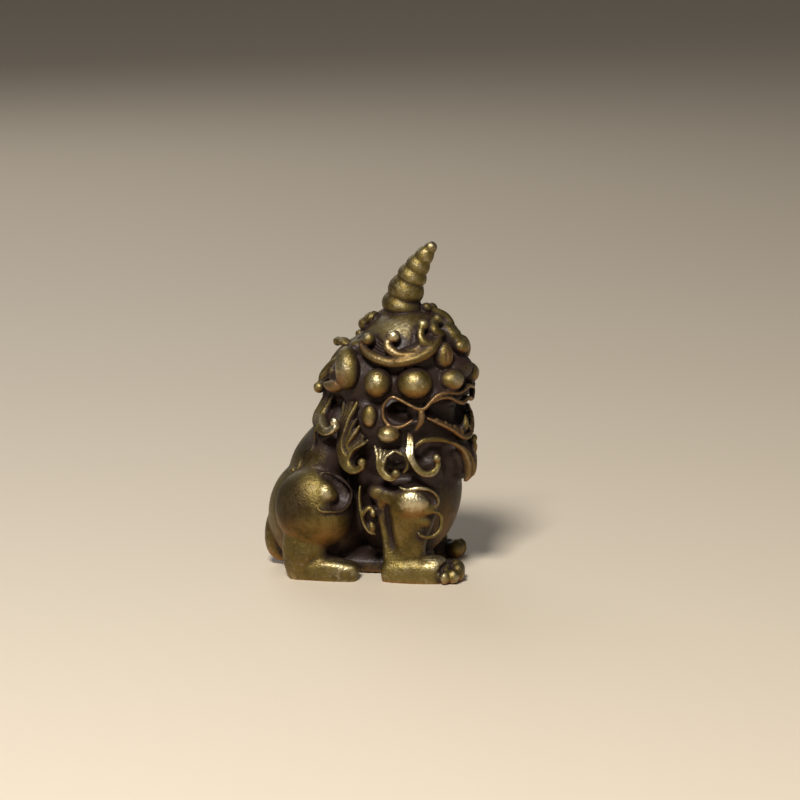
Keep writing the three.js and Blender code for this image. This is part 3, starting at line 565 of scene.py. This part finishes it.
up_the_horn = np.linspace(0, 1, 9)
horn = [[*(HORN_ROOT + (HORN_TIP - HORN_ROOT) * [t**2, 0, t]), *[HORN_RADIUS * (1 - HORN_TAPER * t)] * 2]
        for t in up_the_horn]


def rings(t, angle):
    """Girth of the ringed horn: a flattened half sine from each groove to the next."""
    count = np.interp(t, HORN_GROOVES, np.arange(len(HORN_GROOVES)))
    return (0.8 + 0.2 * np.abs(np.sin(np.pi * count)) ** 0.6) * np.ones_like(angle)


bar(carving, horn, (0, 1, 0), ends=0.2, around=48, rows=260, swell=rings, place=on_body)


# Casting. The wax's masses are softened together, the mouth is pressed in and the carving is laid on; then
# the whole runs out as one skin of brass, cut flat where it stood in the mould.
MM = 0.001  # metres
MIDDLE = np.array([-0.173, 0.372, 0])  # the middle of the casting's outline in the wax's millimetres
COARSE = 0.3  # cells of the skin over the soft masses, in millimetres
FINE = 0.11  # cells of the skin over the whole
MOST_TRIANGLES = 190000


def as_object(name, points, faces):
    """Mesh object from whole arrays of points and triangles."""
    mesh = bpy.data.meshes.new(name)
    mesh.vertices.add(len(points))
    mesh.vertices.foreach_set("co", np.asarray(points, np.float32).ravel())
    mesh.loops.add(faces.size)
    mesh.loops.foreach_set("vertex_index", np.asarray(faces, np.int32).ravel())
    mesh.polygons.add(len(faces))
    mesh.polygons.foreach_set("loop_start", np.arange(0, faces.size, 3, dtype=np.int32))
    mesh.update(calc_edges=True)
    made = bpy.data.objects.new(name, mesh)
    bpy.context.scene.collection.objects.link(made)
    return made


def gathered(name, wax):
    """One object from all the closed surfaces of a list."""
    starts = np.cumsum([0] + [len(points) for points, _ in wax[:-1]])
    points = np.vstack([points for points, _ in wax])
    faces = np.vstack([faces + start for (_, faces), start in zip(wax, starts)])
    return as_object(name, points, faces)


def finished(piece, kind, **settings):
    """Gives a piece one modifier and returns its mesh with that applied, as triangles."""
    modifier = piece.modifiers.new(kind, kind)
    for name, value in settings.items():
        setattr(modifier, name, value)
    shape = piece.evaluated_get(bpy.context.evaluated_depsgraph_get()).to_mesh()
    points, faces = arrays(shape)
    piece.modifiers.clear()
    piece.evaluated_get(bpy.context.evaluated_depsgraph_get()).to_mesh_clear()
    return points, faces


def arrays(mesh):
    """A mesh's points and triangles as arrays."""
    mesh.calc_loop_triangles()
    points = np.empty(len(mesh.vertices) * 3, np.float32)
    mesh.vertices.foreach_get("co", points)
    faces = np.empty(len(mesh.loop_triangles) * 3, np.int32)
    mesh.loop_triangles.foreach_get("vertices", faces)
    return points.reshape(-1, 3).astype(float), faces.reshape(-1, 3)


def edges_of(faces):
    """Each edge of the triangles once, as pairs of points."""
    pairs = np.sort(np.vstack([faces[:, [0, 1]], faces[:, [1, 2]], faces[:, [2, 0]]]), axis=1)
    code = np.unique(pairs[:, 0].astype(np.int64) * (faces.max() + 1) + pairs[:, 1])
    return np.stack([code // (faces.max() + 1), code % (faces.max() + 1)], -1)


def spread(values, edges, rounds, back=0.0):
    """Each value moves half way to the mean of its neighbours, and then back by a share, round by round."""
    count = np.bincount(edges.ravel(), minlength=len(values))[:, None]
    for _ in range(rounds):
        for share in (0.5, -back):
            if share:
                total = np.stack([np.bincount(edges[:, 0], column[edges[:, 1]], len(values))
                                  + np.bincount(edges[:, 1], column[edges[:, 0]], len(values))
                                  for column in values.T], -1)
                values = values + share * (total / np.maximum(count, 1) - values)
    return values


def normals_of(points, faces):
    """Mean of the normals of the triangles round each point, weighted by their areas."""
    a, b, c = (points[faces[:, k]] for k in range(3))
    normal = np.cross(b - a, c - a)
    total = np.stack([sum(np.bincount(faces[:, k], column, len(points)) for k in range(3))
                      for column in normal.T], -1)
    return total / np.maximum(np.linalg.norm(total, axis=1, keepdims=True), 1e-12)


def engraved(points, normals, knots, width, depth):
    """Sinks the points near a line: by the depth on the line, falling off as a bell curve with distance, and
    less towards the line's ends."""
    t = np.linspace(0, 1, 16 * len(knots))
    line, _ = course(knots, t)
    near = np.flatnonzero(np.all((points > line.min(0) - 3 * width) & (points < line.max(0) + 3 * width), axis=1))
    apart = np.linalg.norm(points[near, None] - line[None], axis=2)
    closest = apart.argmin(1)
    fade = np.sin(np.pi * np.clip(t[closest], 0.02, 0.98)) ** 0.4
    sink = depth * fade * np.exp(-((apart[np.arange(len(near)), closest] / width) ** 2))
    points[near] -= normals[near] * sink[:, None]


def one_skin(points, faces):
    """The largest connected part of a mesh: every point takes the lowest number among its neighbours, and
    then that point's own number, until none changes."""
    edges = edges_of(faces)
    label = np.arange(len(points))
    while True:
        low = label[edges].min(1)
        after = label.copy()
        for column in edges.T:
            np.minimum.at(after, column, low)
        after = after[after]
        if np.array_equal(after, label):
            break
        label = after
    used, faces = np.unique(faces[label[faces[:, 0]] == np.bincount(label).argmax()], return_inverse=True)
    return points[used], faces.reshape(-1, 3).astype(np.int32)


trunk = gathered("wax_masses", masses)
points, faces = finished(trunk, "REMESH", mode="VOXEL", voxel_size=COARSE, adaptivity=0)
points = spread(points, edges_of(faces), 8, back=0.48)
skin_normals = normals_of(points, faces)
for knots, width, depth in scoops:
    engraved(points, skin_normals, knots, width, depth)
soft = as_object("wax_soft", points, faces)
plain_wax = BVHTree.FromPolygons(points.tolist(), faces.tolist())
punch = gathered("wax_press", press)
points, faces = finished(soft, "BOOLEAN", operation="DIFFERENCE", object=punch, solver="EXACT")
whole = gathered("wax_whole", [(points, faces)] + carving)
points, faces = finished(whole, "REMESH", mode="VOXEL", voxel_size=FINE, adaptivity=0)
edges = edges_of(faces)
points = spread(points, edges, 3, back=0.4)

skin_normals = normals_of(points, faces)
for knots, width, depth in engraving:
    engraved(points, skin_normals, knots, width, depth)
points = spread(points, edges, 1)
points[:, 2] = np.maximum(points[:, 2], 0)  # the flat underside
for scratch in (trunk, soft, punch, whole):
    bpy.data.objects.remove(scratch)

# How far each point lies below its softened surroundings, near and wide, in millimetres: grooves are
# above nought and ridges below it.
outward = normals_of(points, faces)
near = spread(points, edges, 6)
wide = spread(near, edges, 50)
groove = np.einsum("ij,ij->i", near - points, outward)
dip = np.einsum("ij,ij->i", wide - points, outward)

skin = as_object("wax_skin", points, faces)
places, faces = finished(skin, "DECIMATE", ratio=min(1, MOST_TRIANGLES / len(faces)))
bpy.data.objects.remove(skin)
places, faces = one_skin(places, faces)
nearest = KDTree(len(points))
for index, point in enumerate(points):
    nearest.insert(point, index)
nearest.balance()
source = np.array([nearest.find(point)[1] for point in places])
outward = normals_of(places, faces)

# Shelter: the share of the sky that neighbouring forms hide from a point, and nook, the same spread wide. In
# the colour below both darken the hollows as painted shade, on top of their dark patina.
REACH = 6.0  # millimetres
RAYS = 40
EVERY = 4  # every fourth point sends its rays, and the others take the mean of their nearest three
tree = BVHTree.FromPolygons(places.tolist(), faces.tolist())
turn = np.arange(RAYS) * np.pi * (3 - 5**0.5)
rise = np.sqrt((np.arange(RAYS) + 0.5) / RAYS)
spray = np.stack([np.cos(turn) * np.sqrt(1 - rise**2), np.sin(turn) * np.sqrt(1 - rise**2), rise], -1)
sampled = np.arange(0, len(places), EVERY)
hidden = np.zeros(len(sampled))
finder = KDTree(len(sampled))
for row, index in enumerate(sampled):
    normal = outward[index]
    side_way = np.cross(normal, [0.3, 0.5, 0.81] if abs(normal[0]) > 0.6 else [1, 0.1, 0.2])
    side_way /= np.linalg.norm(side_way)
    rays = spray @ np.stack([side_way, np.cross(normal, side_way), normal])
    start = Vector(places[index] + normal * 0.05)
    struck = [tree.ray_cast(start, Vector(ray), REACH)[3] for ray in rays]
    hidden[row] = np.mean([0.0 if reach is None else 1 - reach / REACH for reach in struck])
    finder.insert(places[index], row)
finder.balance()
near_samples = np.array([[hit[1] for hit in finder.find_n(point, 3)] for point in places])
shelter = spread(hidden[near_samples].mean(1)[:, None], edges_of(faces), 4)[:, 0]
nook = spread(shelter[:, None], edges_of(faces), 40)[:, 0]

# The ground between the raised forms of the head, where the rubbing hardly reaches: 1 on the plain wax. It
# fades out below the mane, over the brows and towards the back.
LAID_ON = 0.45  # millimetres above the plain wax, from where a point belongs to the carving
above = np.array([plain_wax.find_nearest(point)[3] for point in places])
height = places[:, 2] - HEAD_CENTRE[2]
ground = np.clip(1 - above / LAID_ON, 0, 1) * np.clip((height + 17) / 6, 0, 1)
ground *= np.clip((4.2 - height) / 1.5, 0, 1) * np.clip((places[:, 0] + 6) / 3, 0, 1)
ground = spread(ground[:, None], edges_of(faces), 4)[:, 0]

# Where fingers rub most, and where they hardly do, with painted light: the positive spots lighten the rubbed
# high points and paint highlights on the shoulders, thighs, feet, locks, crown and the tops of the pads and ear,
# and the negative spots paint shade over the forehead, brow, haunch, back and chest. Place, reach and strength.
handled = np.zeros(len(places))
for side in SIDES:
    crown, front, brow = (on_body(on_skull(-side * bearing, height, 0.4))
                          for bearing, height in ((75, 6.2), (40, 5), (60, 3.3)))
    tops = on_side(side, [[97, 9.3, 0.6], [60, 9.7, 0.9], [21, 9.4, 0.5], [125, 9.8, 1.5]])  # of pads and ear
    spots = [((6 - 0.6 * side, side * 9.4, 10.9), 1.7, 1.7), ((-4.5, side * 9.4, 11.3), 1.3, 1),  # shoulder, thigh
             ((-3, side * 7.2, 2.8), 1.9, 0.9), ((8.4 - 0.6 * side, side * 7.2, 3), 1.9, 1),  # hind foot, paw
             ((0, side * 9, 18.8), 1.8, 1), ((2.7, side * 9, 17), 1.6, 1), ((5.6, side * 8.9, 17), 1.6, 1),
             ((-4, side * 8, 19.5), 1.5, 1), (crown, 3, 1.2),  # locks, crown
             (front, 1.8, -1.3), (brow, 1.8, -1.2), ((-9, side * 8.5, 10), 3.4, -1.7),  # brow, haunch
             ((-7, side * 5, 17), 3, -1.2), ((11, side * 2, 8), 5, -0.8)]  # back, chest
    for spot, reach, strength in spots + [(top, 1.1, 0.8) for top in on_body(tops)]:
        handled += strength * np.exp(-((np.linalg.norm(places - spot, axis=1) / reach) ** 2))

# The coppery lines: nearness to any of them, as a bell curve of the distance.
lines = np.vstack([on_body(course(line, np.linspace(0, 1, 60))[0]) for line in coppery])
lines_tree = KDTree(len(lines))
for row, spot in enumerate(lines):
    lines_tree.insert(spot, row)
lines_tree.balance()
flush = np.exp(-(np.array([lines_tree.find(point)[2] for point in places]) / 0.75) ** 2)

casting = as_object("qilin_casting", (places - MIDDLE) * MM, faces)
for name, values in (("groove", groove[source]), ("dip", dip[source]), ("shelter", shelter), ("nook", nook),
                     ("handled", handled), ("ground", ground), ("flush", flush),
                     ("facing_down", np.clip(-outward[:, 2], 0, 1) * np.clip((34 - places[:, 2]) / 3, 0, 1))):
    layer = casting.data.attributes.new(name, "FLOAT", "POINT")
    layer.data.foreach_set("value", values.astype(np.float32))
casting.data.polygons.foreach_set("use_smooth", np.ones(len(faces), bool))
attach(casting, "root")
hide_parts("qilin_figurine")


# Brass. The casting is toned nearly black and rubbed back by hand: the high points shine pale gold, partly
# as painted highlights, the broad faces keep an olive brown, and the hollows keep the dark tone, deepened by
# painted shade where neighbouring forms hide the sky. Painted shade also darkens some broad faces, and the
# undersides take a painted warm reflection. The skin is a little grainy, with pits.
def material(name):
    """Material with a Principled shader, a function that adds a node and sets its sockets by name or by
    number, the shader and the node tree."""
    made = bpy.data.materials.new(name)
    made.use_nodes = True
    tree = made.node_tree

    def node(kind, settings={}, **sockets):
        one = tree.nodes.new(kind)
        for key, value in settings.items():
            setattr(one, key, value)
        for key, value in sockets.items():
            socket = one.inputs[int(key[1:]) if key[0] == "_" else key.replace("_", " ")]
            if isinstance(value, bpy.types.NodeSocket):
                tree.links.new(value, socket)
            else:
                socket.default_value = value
        return one

    return made, node, tree.nodes["Principled BSDF"], tree


brass, node, shader, tree = material("brass_patina")


def attribute(name):
    return node("ShaderNodeAttribute", dict(attribute_name=name)).outputs["Fac"]


def between(value, low, high, to_low=0.0, to_high=1.0):
    """Smooth step of a value from low to high."""
    return node("ShaderNodeMapRange", dict(interpolation_type="SMOOTHSTEP"), Value=value, From_Min=low,
                From_Max=high, To_Min=to_low, To_Max=to_high).outputs["Result"]


def sum_of(one, two, by=1.0):
    """One value plus another times by."""
    return node("ShaderNodeMath", dict(operation="MULTIPLY_ADD"), _0=two, _1=by, _2=one).outputs[0]


def product(one, two):
    return node("ShaderNodeMath", dict(operation="MULTIPLY"), _0=one, _1=two).outputs[0]


def mixed(share, one, two):
    """Colour between one and two."""
    mix = node("ShaderNodeMix", dict(data_type="RGBA"), _0=share)
    for socket, value in ((mix.inputs[6], one), (mix.inputs[7], two)):
        if isinstance(value, bpy.types.NodeSocket):
            tree.links.new(value, socket)
        else:
            socket.default_value = (*value, 1)
    return mix.outputs[2]


where = node("ShaderNodeTexCoord").outputs["Object"]


def noise(size, detail=3.0, roughness=0.55):
    """Noise whose blotches are about size metres wide."""
    made = node("ShaderNodeTexNoise", Vector=where, Scale=1 / size, Detail=detail, Roughness=roughness)
    return made.outputs["Fac"]


groove_in, dip_in, shelter_in, nook_in, rubbing_and_light_in, ground_in, flush_in, down_in = (
    attribute(name) for name in ("groove", "dip", "shelter", "nook", "handled", "ground", "flush", "facing_down"))
blotch = noise(0.0035)
speckle = noise(0.0006, 4)
grit = noise(0.00022, 2)

OLIVE = (0.095, 0.064, 0.017)  # of the broad faces
GOLD = (0.2, 0.148, 0.045)
# PALE stands for the brass rubbed bright and also for the painted highlights on it.
PALE = (0.62, 0.52, 0.31)  # of the brass rubbed bright
# RUST_AND_REFLECTION on the undersides is partly an orange tone of the brass and partly a painted reflection of
# warm light from below.
RUST_AND_REFLECTION = (0.32, 0.13, 0.03)  # of the undersides
COPPER = (0.28, 0.145, 0.075)  # of the lips, the brows and the fold of the ear
# NIGHT is the dark patina of the hollows and also the painted shade laid over them.
NIGHT = (0.026, 0.014, 0.01)  # of the hollows
pits = between(noise(0.0004, 3, 0.7), 0.6, 0.7)
level = sum_of(sum_of(dip_in, groove_in, 2.5), ground_in, 0.3)
# Pale high points: partly brass rubbed bright, partly painted highlight from the spots above; the wide shelter
# (nook) holds the pale colour back where shade falls, as painted shade.
wear_and_highlight = between(sum_of(sum_of(sum_of(level, nook_in, 0.9), speckle, 0.7), rubbing_and_light_in, -0.4), 0.36, -0.16)
# Dark: patina in the hollows, deepened by painted shade where shelter and nook say neighbouring forms hide the sky.
dark = sum_of(sum_of(sum_of(sum_of(level, shelter_in, 0.8), nook_in, 0.6), speckle, 0.4), grit, 0.3)
dark = between(sum_of(dark, sum_of(blotch, rubbing_and_light_in, -0.8), 0.15), 0.43, 0.8)
# Undersides: a painted warm reflection, with some orange tone of its own, on down-facing faces in blotches.
underside_rust_and_reflection = product(between(down_in, 0.0, 0.6), between(blotch, 0.3, 0.55))
colour = mixed(between(sum_of(blotch, speckle, 0.6), 0.6, 0.95), OLIVE, GOLD)
colour = mixed(wear_and_highlight, colour, PALE)
colour = mixed(product(flush_in, 0.6), colour, COPPER)
# Painted shade: the negative spots darken the forehead, brow, haunch, back and chest.
colour = mixed(between(rubbing_and_light_in, 0, -1.3, 0, 0.6), colour, NIGHT)
colour = mixed(product(underside_rust_and_reflection, 0.6), colour, RUST_AND_REFLECTION)
colour = mixed(product(pits, 0.35), colour, NIGHT)
# Patina and painted shade in the hollows.
colour = mixed(dark, colour, NIGHT)
tree.links.new(colour, shader.inputs["Base Color"])
tree.links.new(between(dark, 0, 1, 1.0, 0.25), shader.inputs["Metallic"])
tree.links.new(sum_of(between(wear_and_highlight, 0, 1, 0.44, 0.26), speckle, 0.1), shader.inputs["Roughness"])
tree.links.new(between(wear_and_highlight, 0, 1, 0.05, 0.4), shader.inputs["Coat Weight"])
shader.inputs["Coat Roughness"].default_value = 0.25
shader.inputs["Specular IOR Level"].default_value = 0.25
relief = sum_of(sum_of(product(grit, 1.4), speckle, 0.9), pits, -0.8)
bump = node("ShaderNodeBump", Strength=0.65, Distance=0.00008, Height=relief)
tree.links.new(bump.outputs["Normal"], shader.inputs["Normal"])
casting.data.materials.append(brass)


# Floor and light. A plain pale table, one soft lamp above the beast's right side, a weak fill from in front
# of it and a lamp behind.
floor_mesh = bpy.data.meshes.new("table_top")
floor_mesh.from_pydata([(-2, -2, 0), (2, -2, 0), (2, 2, 0), (-2, 2, 0)], [], [(0, 1, 2, 3)])
table_top = bpy.data.objects.new("table_top", floor_mesh)
bpy.context.scene.collection.objects.link(table_top)
pale, node, shader, tree = material("pale_table")
shader.inputs["Base Color"].default_value = (0.62, 0.53, 0.41, 1)
shader.inputs["Roughness"].default_value = 0.6
table_top.data.materials.append(pale)

world = bpy.data.worlds.new("studio")
bpy.context.scene.world = world
world.use_nodes = True
world.node_tree.nodes["Background"].inputs["Color"].default_value = (0.62, 0.6, 0.58, 1)
world.node_tree.nodes["Background"].inputs["Strength"].default_value = 0.16


def lamp(name, place, size, watts, colour=(1, 1, 1)):
    """Square soft lamp that looks at the middle of the figurine."""
    data = bpy.data.lights.new(name, "AREA")
    data.size, data.energy, data.color = size, watts, colour
    made = bpy.data.objects.new(name, data)
    bpy.context.scene.collection.objects.link(made)
    made.location = place
    made.rotation_euler = (Vector((0, 0, 0.02)) - made.location).to_track_quat("-Z", "Y").to_euler()


lamp("key_lamp", (-0.04, -0.3, 0.36), 0.1, 2.75, (1, 0.98, 0.94))
lamp("fill_lamp", (0.4, -0.35, 0.2), 0.4, 0.1, (0.95, 0.97, 1))
lamp("back_lamp", (-0.2, 0.36, 0.3), 0.3, 0.5, (0.97, 0.98, 1))

# Camera. It looks at the beast's right side, from a little towards its face and slightly above.
CAMERA_PLACE = np.array([57.45, -438.14, 108.84])
LOOKED_AT = np.array([3.65, 0, 21.43])
camera_data = bpy.data.cameras.new("camera")
camera_data.lens = 162
camera_data.sensor_width = 36
camera = bpy.data.objects.new("camera", camera_data)
bpy.context.scene.collection.objects.link(camera)
camera.location = (CAMERA_PLACE - MIDDLE) * MM
aim = Vector((LOOKED_AT - MIDDLE) * MM) - camera.location
camera.rotation_euler = aim.to_track_quat("-Z", "Y").to_euler()
bpy.context.scene.camera = camera
bpy.context.scene.view_settings.view_transform = "Standard"
